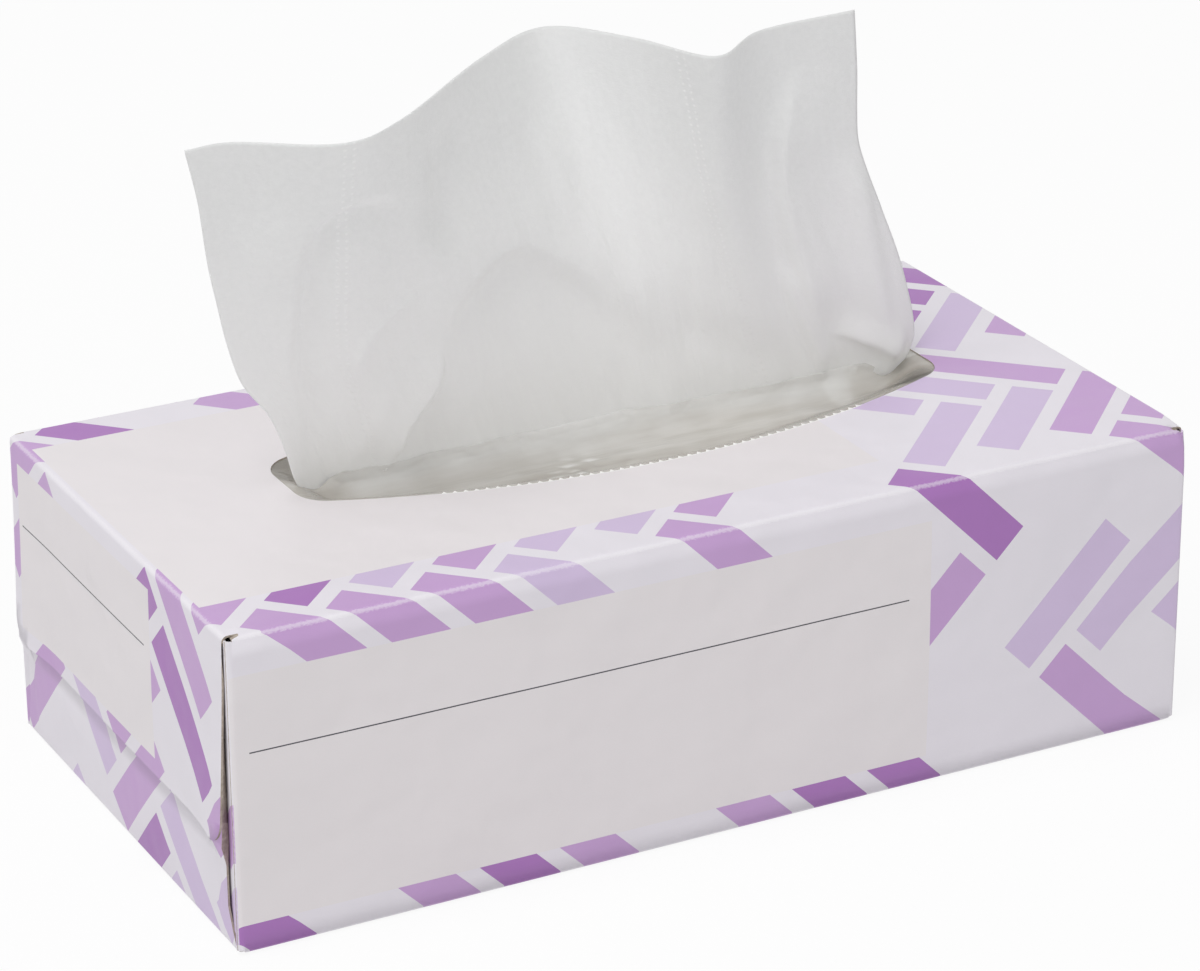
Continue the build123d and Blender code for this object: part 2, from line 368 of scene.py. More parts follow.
def smooth_line(points, count):
    """Evenly spaced points on a smooth curve through the given ones."""
    given = np.array(points, float)
    ends = np.vstack([2 * given[0] - given[1], given, 2 * given[-1] - given[-2]])
    t = np.linspace(0, 1, 24, endpoint=False)[:, None]
    dense = []
    for k in range(len(given) - 1):
        a, b, c, d = ends[k : k + 4]
        squared = (2 * a - 5 * b + 4 * c - d) * t**2
        cubed = (3 * b - a - 3 * c + d) * t**3
        dense.append(0.5 * (2 * b + (c - a) * t + squared + cubed))
    dense = np.vstack(dense + [given[-1:]])
    run = np.concatenate([[0], np.cumsum(np.linalg.norm(np.diff(dense, axis=0), axis=1))])
    even = np.linspace(0, run[-1], count)
    return np.column_stack([np.interp(even, run, dense[:, k]) for k in range(dense.shape[1])])


def smooth_step(value, start, end):
    """0 before start, 1 after end and an eased rise between them."""
    share = np.clip((value - start) / (end - start), 0, 1)
    return share * share * (3 - 2 * share)


def waves(seed, x, y, size, octaves=3):
    """Soft, repeatable unevenness of about the given size, from about -1 to 1."""
    dice = np.random.default_rng(seed)
    total = np.zeros(np.broadcast(x, y).shape)
    for octave in range(octaves):
        for _ in range(5):
            angle = dice.uniform(0, 2 * math.pi)
            turn = 2 * math.pi / (size * 0.5**octave * dice.uniform(0.7, 1.4))
            phase = dice.uniform(0, 2 * math.pi)
            total += np.sin((x * math.cos(angle) + y * math.sin(angle)) * turn + phase) * 0.55**octave
    return total / 6


def grid_corners(rows, columns, start=0):
    """First corner of each face of a grid of points that are numbered row by row from start."""
    return [start + row * columns + k for row in range(rows - 1) for k in range(columns - 1)]


def mesh_from_grid(name, points, faces):
    """New piece from a grid of points, smooth shaded."""
    mesh = bpy.data.meshes.new(name)
    mesh.from_pydata([tuple(p) for p in points], [], faces)
    mesh.validate()
    for polygon in mesh.polygons:
        polygon.use_smooth = True
    piece = bpy.data.objects.new(name, mesh)
    bpy.context.scene.collection.objects.link(piece)
    return piece


# Materials


def herringbone(tree, print_map):
    """Colour of a herringbone of bars on a pale ground, laid at 45 degrees to the box's edges."""
    turn = (0, 0, math.radians(45))
    scale = (1 / PRINT_CELL, 1 / PRINT_CELL, 1)
    turned = add_node(tree, "Mapping", {"Vector": print_map, "Rotation": turn, "Scale": scale})
    cells = add_node(tree, "SeparateXYZ", {0: turned})
    x, y = cells.outputs[0], cells.outputs[1]
    column = add_node(tree, "Math", {0: x}, operation="FLOOR")
    row = add_node(tree, "Math", {0: y}, operation="FLOOR")
    offset = add_node(tree, "Math", {0: column, 1: row}, operation="SUBTRACT")
    step = add_node(tree, "Math", {0: offset, 1: 2 * BLOCK_CELLS}, operation="FLOORED_MODULO")
    lying = add_node(tree, "Math", {0: step, 1: BLOCK_CELLS - 0.5}, operation="LESS_THAN")
    standing = add_node(tree, "Math", {0: 1, 1: lying}, operation="SUBTRACT")
    lying_start = add_node(tree, "Math", {0: column, 1: step}, operation="SUBTRACT")
    row_and_step = add_node(tree, "Math", {0: row, 1: step}, operation="ADD")
    standing_start = add_node(tree, "Math", {0: row_and_step, 1: 2 * BLOCK_CELLS - 1}, operation="SUBTRACT")
    along_lying = add_node(tree, "Math", {0: x, 1: lying_start}, operation="SUBTRACT")
    along_standing = add_node(tree, "Math", {0: y, 1: standing_start}, operation="SUBTRACT")
    side_lying = add_node(tree, "Math", {0: y, 1: row}, operation="SUBTRACT")
    side_standing = add_node(tree, "Math", {0: x, 1: column}, operation="SUBTRACT")
    chosen = []
    for if_lying, if_standing in (
        (along_lying, along_standing),
        (side_lying, side_standing),
        (lying_start, column),
        (row, standing_start),
    ):
        first = add_node(tree, "Math", {0: if_lying, 1: lying}, operation="MULTIPLY")
        second = add_node(tree, "Math", {0: if_standing, 1: standing}, operation="MULTIPLY")
        chosen.append(add_node(tree, "Math", {0: first, 1: second}, operation="ADD"))
    along, side, block_u, block_v = chosen
    half_bar = BAR_WIDTH / PRINT_CELL / 2
    half_block = BLOCK_CELLS / 2
    reach = half_block - (0.5 - half_bar)
    bar_side = add_node(tree, "Math", {0: side, 1: 0.5, 2: half_bar}, operation="COMPARE")
    bar_along = add_node(tree, "Math", {0: along, 1: half_block, 2: reach}, operation="COMPARE")
    bar = add_node(tree, "Math", {0: bar_side, 1: bar_along}, operation="MULTIPLY")
    # Each bar draws one of the inks by chance
    block = add_node(tree, "CombineXYZ", {0: block_u, 1: block_v, 2: lying})
    draw = add_node(tree, "TexWhiteNoise", {"Vector": block}, noise_dimensions="3D")
    tints = add_node(tree, "ValToRGB", {0: draw}, BAR_INKS)
    tints.color_ramp.interpolation = "CONSTANT"
    painted = {"Factor": bar, 6: linear(GROUND_INK), 7: tints}
    return add_node(tree, "Mix", painted, data_type="RGBA").outputs[2]


def inside(tree, u, v, low, high):
    """1 inside a rectangle of the print, 0 outside it."""
    masks = []
    for value, start, end in ((u, low[0], high[0]), (v, low[1], high[1])):
        span = {0: value, 1: (start + end) / 2, 2: (end - start) / 2}
        masks.append(add_node(tree, "Math", span, operation="COMPARE"))
    return add_node(tree, "Math", {0: masks[0], 1: masks[1]}, operation="MULTIPLY")


def torn_fibres_and_highlight(tree, u, v):
    """1 on the white band along the serrated front edge of the opening: torn fibres and a painted highlight.
    """
    radius = OPENING_BOW_RADIUS / MM
    middle_v = OPENING_Y / MM + radius - OPENING_HALF_WIDTH / MM
    from_u = add_node(tree, "Math", {0: u, 1: OPENING_X / MM}, operation="SUBTRACT")
    from_v = add_node(tree, "Math", {0: v, 1: middle_v}, operation="SUBTRACT")
    u_squared = add_node(tree, "Math", {0: from_u, 1: from_u}, operation="MULTIPLY")
    v_squared = add_node(tree, "Math", {0: from_v, 1: from_v}, operation="MULTIPLY")
    total = add_node(tree, "Math", {0: u_squared, 1: v_squared}, operation="ADD")
    out = add_node(tree, "Math", {0: total}, operation="SQRT")
    band = add_node(tree, "Math", {0: out, 1: radius - TORN_AND_HIGHLIGHT_INSET, 2: TORN_AND_HIGHLIGHT_HALF_WIDTH}, operation="COMPARE")
    toothed = add_node(tree, "Math", {0: from_u, 1: 0.0, 2: TEETH_REACH}, operation="COMPARE")
    in_front = add_node(tree, "Math", {0: v, 1: 0.0}, operation="LESS_THAN")
    torn_and_highlight_band = add_node(tree, "Math", {0: band, 1: toothed}, operation="MULTIPLY")
    return add_node(tree, "Math", {0: torn_and_highlight_band, 1: in_front}, operation="MULTIPLY")


def cracked_folds(tree, print_map, u, v):
    """How far the ink has cracked along each of the four folds, where the white lining shows."""
    crack = add_node(tree, "TexNoise", {"Vector": print_map, "Scale": 1.6, "Detail": 4.0})
    reach = add_node(tree, "Math", {0: crack, 1: CRACK_REACH}, operation="MULTIPLY")
    cracked = []
    for fold, where in ((v, FRONT_FOLD), (v, -FRONT_FOLD), (u, -END_FOLD), (u, END_FOLD)):
        off_fold = add_node(tree, "Math", {0: fold, 1: where}, operation="SUBTRACT")
        near = add_node(tree, "Math", {0: off_fold}, operation="ABSOLUTE")
        worn = add_node(tree, "Math", {0: reach, 1: near}, operation="SUBTRACT")
        worn_range = {"Value": worn, "From Min": 0.05, "From Max": 0.7, "To Max": CRACK_STRENGTH}
        cracked.append(add_node(tree, "MapRange", worn_range))
    return cracked


def printed_paperboard():
    """Coated white-lined paperboard, offset printed: even colour, a soft satin gloss and faint waviness."""
    material, tree = start_material("printed_paperboard")
    print_map = add_node(tree, "UVMap", uv_map="print")
    place = add_node(tree, "SeparateXYZ", {0: print_map})
    u, v = place.outputs[0], place.outputs[1]
    colour = herringbone(tree, print_map)
    # Painted shadow of the gap beside the front panel's right edge
    painted_gap_shadow = inside(tree, u, v, *PAINTED_GAP_SHADOW)
    painted_gap_shadow = add_node(tree, "Math", {0: painted_gap_shadow, 1: PAINTED_GAP_SHADOW_STRENGTH}, operation="MULTIPLY")
    coats = [(inside(tree, u, v, low, high), "#E3DEE0") for low, high in BARE_PANELS.values()]
    coats += [(inside(tree, u, v, low, high), "#4A4A50") for low, high in THIN_RULES.values()]
    # White band at the serrated edge: torn fibres, and a painted highlight on the teeth
    coats += [(torn_fibres_and_highlight(tree, u, v), "#F6F4F3")]
    coats += [(worn, "#EDEBEE") for worn in cracked_folds(tree, print_map, u, v)]
    # Painted shadow line along the front panel's right edge
    coats += [(painted_gap_shadow, "#5A5262")]
    for mask, paint in coats:
        painted = {"Factor": mask, 6: colour, 7: linear(paint)}
        colour = add_node(tree, "Mix", painted, data_type="RGBA").outputs[2]
    # Paper fibres under the coating, about 0.3 mm, and a slow waviness of the board
    fibres = add_node(tree, "TexNoise", {"Vector": print_map, "Scale": 3.2, "Detail": 5.0, "Roughness": 0.7})
    slow = add_node(tree, "TexNoise", {"Vector": print_map, "Scale": 0.05, "Detail": 2.0})
    darkening = {"Value": fibres, "From Min": 0.3, "From Max": 0.7, "To Min": 0.975, "To Max": 1.0}
    speckle = add_node(tree, "MapRange", darkening)
    shaded = add_node(tree, "VectorMath", {0: colour, "Scale": speckle}, operation="SCALE")
    relief = add_node(tree, "Bump", {"Height": slow, "Strength": 0.35, "Distance": 4 * MM})
    fine = {"Height": fibres, "Strength": 0.12, "Distance": 0.2 * MM, "Normal": relief}
    look = {"Base Color": shaded, "Roughness": 0.42, "IOR": 1.48, "Normal": add_node(tree, "Bump", fine)}
    add_node(tree, "OutputMaterial", {"Surface": add_node(tree, "BsdfPrincipled", look)})
    return material


def raw_paperboard():
    """Uncoated grey-brown recycled core and back of the board: matt, with loose fibres and specks."""
    material, tree = start_material("raw_paperboard")
    where = add_node(tree, "TexCoord").outputs["Object"]
    # Fibres and specks about 1 mm long
    fibres = add_node(tree, "TexNoise", {"Vector": where, "Scale": 900.0, "Detail": 6.0, "Roughness": 0.7})
    tone = add_node(tree, "ValToRGB", {0: fibres}, [(0.3, "#8E8276"), (0.7, "#BDB2A6")])
    relief = add_node(tree, "Bump", {"Height": fibres, "Strength": 0.4, "Distance": 0.3 * MM})
    look = {"Base Color": tone, "Roughness": 0.92, "IOR": 1.45, "Normal": relief}
    add_node(tree, "OutputMaterial", {"Surface": add_node(tree, "BsdfPrincipled", look)})
    return material


def clear_film():
    """Thin cast polypropylene film: clear where it lies flat, hazier where it is creased at its slit, with
    painted shade in its colour.
    """
    material, tree = start_material("clear_polypropylene_film")
    where = add_node(tree, "TexCoord").outputs["Object"]
    haze = add_node(tree, "Attribute", attribute_name="haze").outputs["Fac"]
    # Stretch wrinkles run along the slit, about 4 mm apart
    stretched = add_node(tree, "Mapping", {"Vector": where, "Scale": (45.0, 260.0, 260.0)})
    wrinkles = add_node(tree, "TexNoise", {"Vector": stretched, "Scale": 1.0, "Detail": 3.0})
    streaked = {"Value": wrinkles, "From Min": 0.3, "From Max": 0.7, "To Min": -0.05, "To Max": 0.05}
    streaks = add_node(tree, "MapRange", streaked)
    milky = add_node(tree, "Math", {0: haze, 1: streaks}, operation="ADD")
    # Painted shade: where the film is clearer its colour is a warm grey for the shaded inside under it,
    # whitening as the haze grows
    tone = add_node(tree, "ValToRGB", {0: milky}, [(0.5, "#D8D2C9"), (0.75, "#EFEEEB"), (0.95, "#FCFCFB")])
    relief = add_node(tree, "Bump", {"Height": wrinkles, "Strength": 0.3, "Distance": 1.2 * MM})
    look = {"Base Color": tone, "Roughness": 0.14, "IOR": 1.49, "Alpha": milky, "Normal": relief}
    add_node(tree, "OutputMaterial", {"Surface": add_node(tree, "BsdfPrincipled", look)})
    return material


def embossed_dots(tree, u, v):
    """The dots of both embossed lines: two rows 2 mm apart in each, and each dot about 0.8 mm across."""
    turn = add_node(tree, "Math", {0: v, 1: 2 * math.pi / DOT_PITCH}, operation="MULTIPLY")
    beat = add_node(tree, "Math", {0: turn}, operation="SINE")
    pulse = add_node(tree, "Math", {0: beat, 1: 0}, operation="MAXIMUM")
    dots = []
    for start, lean in EMBOSSED_LINES:
        leaning = add_node(tree, "Math", {0: v, 1: lean}, operation="MULTIPLY")
        upright = add_node(tree, "Math", {0: u, 1: leaning}, operation="SUBTRACT")
        off_line = add_node(tree, "Math", {0: upright, 1: start}, operation="SUBTRACT")
        beside = add_node(tree, "Math", {0: off_line}, operation="ABSOLUTE")
        off_row = add_node(tree, "Math", {0: beside, 1: DOT_ROW_OFFSET}, operation="SUBTRACT")
        distance = add_node(tree, "Math", {0: off_row}, operation="ABSOLUTE")
        faded = add_node(tree, "Math", {0: distance, 1: DOT_FADE}, operation="MULTIPLY")
        left = add_node(tree, "Math", {0: 1, 1: faded}, operation="SUBTRACT")
        near = add_node(tree, "Math", {0: left, 1: 0}, operation="MAXIMUM")
        dots.append(add_node(tree, "Math", {0: near, 1: pulse}, operation="MULTIPLY"))
    return add_node(tree, "Math", {0: dots[0], 1: dots[1]}, operation="ADD")


def creped_tissue():
    """Two-ply creped facial tissue: matt white, fine crepe grain, light through it, two lines of dots."""
    material, tree = start_material("creped_facial_tissue")
    where = add_node(tree, "UVMap", uv_map="sheet")
    place = add_node(tree, "SeparateXYZ", {0: where})
    u, v = place.outputs[0], place.outputs[1]
    # Crepe is about 0.3 mm on the real sheet and is drawn at about 0.6 mm so that it shows
    creped = add_node(tree, "Mapping", {"Vector": where, "Scale": (1.0, 2.0, 1.0)})
    crepe = add_node(tree, "TexNoise", {"Vector": creped, "Scale": 1.0, "Detail": 5.0, "Roughness": 0.7})
    grain = add_node(tree, "Bump", {"Height": crepe, "Strength": 0.45, "Distance": 0.22 * MM})
    dots = embossed_dots(tree, u, v)
    embossed = {"Height": dots, "Strength": 0.35, "Distance": 0.2 * MM, "Normal": grain}
    mottle = add_node(tree, "TexNoise", {"Vector": where, "Scale": 0.6, "Detail": 6.0, "Roughness": 0.65})
    colour = add_node(tree, "ValToRGB", {0: mottle}, [(0.3, "#E0E1E0"), (0.7, "#E5E6E5")])
    # Painted light: the sheet is drawn whiter towards the slit, lifting the shade that falls low on it
    painted_light_near_slit = add_node(tree, "MapRange", {"Value": v, "From Min": 75.0, "From Max": 12.0})
    # The dots' painted highlight fades out towards the slit, where the sheet is pulled flat
    kept = add_node(tree, "MapRange", {"Value": v, "From Min": 22.0, "From Max": 45.0, "To Max": 0.45})
    # Painted highlight: the embossed dots are drawn lighter than the sheet
    painted_dot_highlight = add_node(tree, "Math", {0: dots, 1: kept}, operation="MULTIPLY")
    for mask, tone in ((painted_light_near_slit, "#F4F4F2"), (painted_dot_highlight, "#FBFBFA")):
        lighter = {"Factor": mask, 6: colour, 7: linear(tone)}
        colour = add_node(tree, "Mix", lighter, data_type="RGBA").outputs[2]
    look = {
        "Base Color": colour,
        "Roughness": 0.95,
        "IOR": 1.4,
        "Specular IOR Level": 0.2,
        "Subsurface Weight": 0.62,
        "Subsurface Radius": (1.0, 1.0, 1.0),
        "Subsurface Scale": 1.5 * MM,
        "Normal": add_node(tree, "Bump", embossed),
    }
    add_node(tree, "OutputMaterial", {"Surface": add_node(tree, "BsdfPrincipled", look)})
    return material


def folded_tissue_pack():
    """Pack of folded tissue seen edge on: matt white with fine layers."""
    material, tree = start_material("folded_tissue_pack")
    where = add_node(tree, "TexCoord").outputs["Object"]
    # Layers are about 0.3 mm thick in the pack and are drawn at about 0.4 mm so that they show
    flat = add_node(tree, "Mapping", {"Vector": where, "Scale": (40.0, 40.0, 2400.0)})
    layers = add_node(tree, "TexNoise", {"Vector": flat, "Scale": 1.0, "Detail": 3.0})
    relief = add_node(tree, "Bump", {"Height": layers, "Strength": 0.5, "Distance": 0.6 * MM})
    look = {"Base Color": linear("#DCDBD8"), "Roughness": 0.95, "Specular IOR Level": 0.2, "Normal": relief}
    add_node(tree, "OutputMaterial", {"Surface": add_node(tree, "BsdfPrincipled", look)})
    return material


# Pieces


def make_carton(printed, raw):
    """The folded carton: the frame's own board, with its panels eased and its print laid on."""
    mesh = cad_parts["carton"].data.copy()
    mesh.name = "folded_carton"
    piece = bpy.data.objects.new("folded_carton", mesh)
    bpy.context.scene.collection.objects.link(piece)
    make_active(piece)
    bpy.ops.object.mode_set(mode="EDIT")
    bpy.ops.mesh.select_all(action="SELECT")
    bpy.ops.mesh.remove_doubles(threshold=0.002 * MM)
    bpy.ops.mesh.dissolve_limited(angle_limit=math.radians(0.2))
    for place in (-HALF_LENGTH + BOARD, HALF_LENGTH - BOARD):
        bpy.ops.mesh.select_all(action="SELECT")
        bpy.ops.mesh.bisect(plane_co=(place, 0, 0), plane_no=(1, 0, 0))
    low = (-HALF_LENGTH, -HALF_WIDTH, 0)
    high = (HALF_LENGTH, HALF_WIDTH, HEIGHT)
    cut_into_grid(low, high, [int((b - a) / GRID_STEP) for a, b in zip(low, high)])
    bpy.ops.mesh.select_all(action="SELECT")
    bpy.ops.mesh.quads_convert_to_tris(quad_method="BEAUTY", ngon_method="BEAUTY")
    bpy.ops.object.mode_set(mode="OBJECT")
    print_onto(piece, printed, raw)
    ease_board(piece)
    make_active(piece)
    bpy.ops.object.shade_smooth_by_angle(angle=math.radians(28))
    return piece


def print_onto(piece, printed, raw):
    """Gives the outer faces the print, laid out as on the unfolded board, and the rest raw board."""
    mesh = piece.data
    mesh.materials.clear()
    mesh.materials.append(printed)
    mesh.materials.append(raw)
    layer = mesh.uv_layers.get("print") or mesh.uv_layers.new(name="print")
    reach = FOLD_RADIUS + SLACK
    flap_reach = FLAP_DEPTH + SLACK
    for face in mesh.polygons:
        centre, normal = face.center, face.normal
        out = 0.0
        if abs(centre.x) > HALF_LENGTH - flap_reach:
            out += normal.x * math.copysign(1, centre.x)
        if abs(centre.y) > HALF_WIDTH - reach:
            out += normal.y * math.copysign(1, centre.y)
        if centre.z > HEIGHT - reach:
            out += normal.z
        if centre.z < reach:
            out -= normal.z
        face.material_index = 0 if out > 0.35 else 1
        on_end = abs(normal.x) > abs(normal.y) and abs(normal.x) > 0.05
        underneath = normal.z < -0.7
        for loop in face.loop_indices:
            place = mesh.vertices[mesh.loops[loop].vertex_index].co
            drop = HEIGHT - place.z
            if on_end:
                flat = (place.x + math.copysign(drop, centre.x), place.y)
            elif underneath:
                # The bottom panel carries on from the front panel's lower fold
                flat = (place.x, -place.y - 2 * HALF_WIDTH - HEIGHT)
            else:
                flat = (place.x, place.y + math.copysign(drop, centre.y if drop > 1e-4 else place.y))
            layer.data[loop].uv = (flat[0] / MM, flat[1] / MM)


def ease_board(piece):
    """Bows the panels a little, lets the end flaps spring and dents the corner that has been knocked."""
    mesh = piece.data
    co = np.empty(len(mesh.vertices) * 3)
    mesh.vertices.foreach_get("co", co)
    co = co.reshape(-1, 3)
    bow_panels(co)
    spring_ends(co)
    dent_corner(co)
    mesh.vertices.foreach_set("co", co.ravel())
    mesh.update()


def bow_panels(co):
    """Bows the sides and ends out and sags the top round its opening, by moving the given points."""
    x, y, z = co.T
    span_x = np.clip(1 - (x / HALF_LENGTH) ** 2, 0, 1)
    span_y = np.clip(1 - (y / HALF_WIDTH) ** 2, 0, 1)
    span_z = np.clip(1 - (2 * z / HEIGHT - 1) ** 2, 0, 1)
    side = smooth_step(np.abs(y), HALF_WIDTH * 0.7, HALF_WIDTH) * np.sign(y)
    end = smooth_step(np.abs(x), HALF_LENGTH * 0.85, HALF_LENGTH) * np.sign(x)
    lid = smooth_step(z, HEIGHT * 0.8, HEIGHT)
    co[:, 1] += side * span_x * span_z * SIDE_BOW * (1 + 0.4 * waves(3, x, z, SIDE_UNEVENNESS))
    co[:, 0] += end * span_y * span_z * END_BOW
    co[:, 2] -= lid * span_x * span_y * TOP_SAG * (1 + 0.5 * waves(5, x, y, TOP_UNEVENNESS))


def spring_ends(co):
    """Stands side panels and dust flaps out at the ends, and shapes and springs the end flaps."""
    x, y, z = co.T
    depth = HALF_LENGTH - np.abs(x)
    from_side = HALF_WIDTH - np.abs(y)
    from_fold = np.minimum(z, HEIGHT - z)
    flap = depth < 2 * BOARD + SLACK
    # Side panels and dust flaps stand out towards the end flaps and round the flaps' free side edges
    panel = from_side < FOLD_RADIUS + 0.15 * MM
    panel_reached = smooth_step(from_fold, 0.05 * MM, 0.5 * MM)
    dust_flap_reached = smooth_step(from_fold, 0.8 * MM, 3 * MM)
    reached = np.where(panel, panel_reached, dust_flap_reached)
    near_end = smooth_step(-depth, -16 * MM, -FLAP_DEPTH)
    corner = smooth_step(-from_side, -3.5 * MM, -1.2 * MM)
    stand = np.where(x > 0, RIGHT_STAND, LEFT_STAND) + CORNER_STAND * corner
    co[:, 0] += ~flap * reached * near_end * np.sign(x) * stand
    # Lower flaps are narrower than the outer ones, and swell a little below the outer ones' edges
    outer = (depth < BOARD - 0.01 * MM) & (z > OUTER_FLAP_LOW)
    lower_edge = flap & ~outer & (from_side < FLAP_EDGE_BAND) & (z < HEIGHT - 1.5 * MM)
    co[:, 1] -= lower_edge * smooth_step(z, 0.5 * MM, 9 * MM) * np.sign(y) * LOWER_FLAP_INSET
    swell = LOWER_FLAP_SWELL * smooth_step(z, 1 * MM, 9 * MM) * (z < OUTER_FLAP_LOW)
    co[:, 0] += swell * (flap & ~outer) * np.sign(x)
    # Outer flaps taper downwards, and their free side edges spring
    hang = np.clip((HEIGHT - z) / (HEIGHT - OUTER_FLAP_LOW), 0, 1)
    co[:, 1] -= outer * (from_side < FLAP_EDGE_BAND) * hang * np.sign(y) * OUTER_FLAP_TAPER
    free_edge = smooth_step(-from_side, -24 * MM, -1.5 * MM)
    co[:, 0] += outer * free_edge * hang**1.5 * np.where(x < 0, LEFT_FLAP_SPRING, RIGHT_FLAP_SPRING)


def dent_corner(co):
    """Pushes in and crumples the knocked corner, right front top."""
    x, y, z = co.T
    away = np.linalg.norm(co - (HALF_LENGTH, -HALF_WIDTH, HEIGHT), axis=1)
    dent = np.exp(-((away / DENT_REACH) ** 2))
    crumple = 1 + 0.7 * waves(11, x * 2, y * 2 - z * 0.4, 6 * MM)
    push = dent * DENT_DEPTH * crumple
    co[:, 0] -= push
    co[:, 1] += push
    co[:, 2] -= push


def opening_reach(x):
    """Half the opening's width at x, measured from its middle line."""
    inside_x = np.clip(np.abs(x), 0, OPENING_HALF_LENGTH)
    return np.sqrt(OPENING_BOW_RADIUS**2 - inside_x**2) - OPENING_BOW_RADIUS + OPENING_HALF_WIDTH


def film_haze(side, xs, across, lip, patch):
    """How hazy one row of the film is: more at its lips and glints, less towards its ends and clear tips."""
    level = np.full_like(xs, across)
    # The lips' extra haze is partly creasing and partly a painted highlight of the lit lip
    haze = FILM_HAZE + LIP_HAZE_AND_HIGHLIGHT * lip + 0.04 * waves(61 + side, xs, level, 30 * MM)
    haze = haze - OUTER_CLEARING * smooth_step(level, 6 * MM, 16 * MM)
    haze = haze - LEFT_CLEARING * smooth_step(-xs, 60 * MM, 68 * MM)
    if side < 0:
        folded_width = FOLDED_HALF_WIDTH * (1 - across / FOLDED_RUN)
        folded = smooth_step(folded_width - np.abs(xs - FOLDED_X + FOLDED_LEAN * across), -MM, MM)
        haze = haze + FOLDED_HAZE * folded - RIGHT_CLEARING * smooth_step(xs, 56 * MM, 62 * MM)
    # Painted glints: whiter, more opaque streaks of haze in the crinkle patch stand in for highlights
    glints = patch * smooth_step(waves(65, xs * 0.25, level, 4 * MM, 2), 0.15, 0.6)
    tip_x, tip_across, reach_x, reach_across, clearing = CLEAR_TIPS[side]
    from_tip = np.hypot((xs / MM - tip_x) / reach_x, (across / MM - tip_across) / reach_across)
    tip = 1 - smooth_step(from_tip, 0.55, 1.25)
    return haze - clearing * tip + GLINT_HAZE * glints


def film_half(side, xs, low_sheet):
    """One half of the film, from its slit out to its border, as rows of points and how hazy each one is."""
    depth = film_high.z - film_low.z - FILM_THICKNESS
    in_slit = smooth_step(SLIT_LENGTH / 2 - np.abs(xs), 0, SLIT_END_RUN)
    from_end = OPENING_HALF_LENGTH - np.abs(xs)
    rows = []
    hazes = []
    for share in np.linspace(0, 1, FILM_ROWS):
        across = FILM_HALF_WIDTH * share**ROW_CROWDING
        dish = smooth_step(np.minimum(opening_reach(xs) - across, from_end), 0, FILM_DISH_RUN)
        z = film_high.z - FILM_THICKNESS - dish * depth
        # Lip pulled up along the tissue, higher in some places than in others
        lip_share = np.clip(1 - across / LIP_REACH, 0, 1)
        lip = lip_share**LIP_CURL * in_slit
        rise = LIP_RISE * (1 + 0.12 * waves(21 + side, xs, xs * 0, LIP_UNEVENNESS))
        z = z + lip * rise * (1.0 if side < 0 else BACK_LIP_SHARE)
        # Slow slackness all over, and a patch of small crinkles in front
        patch_x = (xs - CRINKLES_X) / CRINKLES_LENGTH
        patch_across = (across - CRINKLES_ACROSS) / CRINKLES_WIDTH
        patch = np.exp(-(patch_x**2) - patch_across**2) * (side < 0)
        z = z + SLACK_RISE * waves(41, xs, np.full_like(xs, side * across), SLACK_SIZE) * dish
        z = z + CRINKLE_RISE * waves(43, xs * 0.6, np.full_like(xs, across), CRINKLE_SIZE, 2) * patch
        y = np.full_like(xs, side * across + OPENING_Y)
        # The slit's lips lie against the tissue that leaves between them
        leaning = lip_share * in_slit
        if leaning.max() > 0:
            gaps = (low_sheet[:, 0] - xs[:, None] - OPENING_X) ** 2 + (low_sheet[:, 2] - z[:, None]) ** 2
            against = low_sheet[np.argmin(gaps, axis=1), 1] + side * SLIT_GAP
            y = y + (against - y) * leaning
        rows.append(np.column_stack([xs + OPENING_X, y, z]))
        hazes.append(film_haze(side, xs, across, lip, patch))
    return np.array(rows), np.array(hazes)


def make_film(material, low_sheet):
    """The film: its border lies flat under the board, its middle hangs slack and its slit's lips curl up."""
    xs = np.linspace(-FILM_HALF_LENGTH, FILM_HALF_LENGTH, FILM_COLUMNS)
    halves = [film_half(side, xs, low_sheet) for side in (-1, 1)]
    faces = []
    for half in range(2):
        for a in grid_corners(FILM_ROWS, FILM_COLUMNS, half * FILM_ROWS * FILM_COLUMNS):
            face = (a, a + FILM_COLUMNS, a + FILM_COLUMNS + 1, a + 1)
            faces.append(face if half == 0 else face[::-1])
    points = np.concatenate([rows.reshape(-1, 3) for rows, _ in halves])
    piece = mesh_from_grid("slack_film", points, faces)
    hazes = np.concatenate([haze.ravel() for _, haze in halves])
    attribute = piece.data.attributes.new("haze", "FLOAT", "POINT")
    attribute.data.foreach_set("value", np.clip(hazes, *HAZE_RANGE))
    make_active(piece)
    bpy.ops.object.mode_set(mode="EDIT")
    bpy.ops.mesh.select_all(action="SELECT")
    bpy.ops.mesh.remove_doubles(threshold=0.005 * MM)
    bpy.ops.mesh.normals_make_consistent(inside=False)
    bpy.ops.object.mode_set(mode="OBJECT")
    give_wall(piece, FILM_THICKNESS)
    piece.data.materials.append(material)
    return piece


